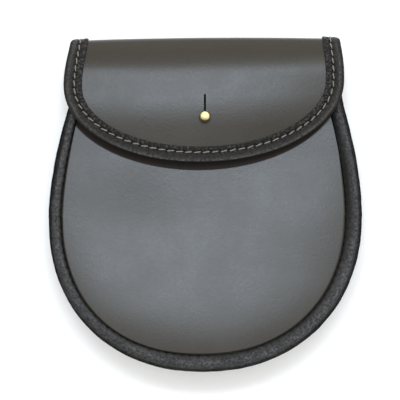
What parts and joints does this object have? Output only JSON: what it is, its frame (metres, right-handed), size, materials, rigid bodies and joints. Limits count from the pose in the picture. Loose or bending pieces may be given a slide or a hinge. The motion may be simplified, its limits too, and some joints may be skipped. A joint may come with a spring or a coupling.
{
  "type": "sporran pouch",
  "caption": "Flat round-bottomed leather sporran pouch with a bound front flap, a brass stud in a keyhole and a belt keeper on the back.",
  "frame": {"origin": "on the surface that the pouch lies on, under the middle of its outline", "axes": "+Z out of the front, +Y up as it is worn, +X to the right of someone who looks at the front"},
  "size_m": [0.19, 0.2037, 0.0435],
  "materials": {
    "panel_leather": "smooth semi-matt black leather with a fine grain",
    "flap_leather": "smooth semi-matt black leather with a fine grain",
    "gusset_leather": "soft pebbled black leather, rolled over the seam",
    "binding_leather": "soft pebbled black leather strip, stitched in grey",
    "stud_brass": "polished turned brass",
    "screw_brass": "plain turned brass",
    "keeper_leather": "plain black belt leather"
  },
  "bodies": {
    "root": {"front_panel": "panel_leather", "back_and_flap": "flap_leather", "gusset": "gusset_leather", "flap_binding": "binding_leather", "button_stud": "stud_brass", "stud_screw": "screw_brass", "belt_keeper": "keeper_leather"}
  },
  "joints": []
}
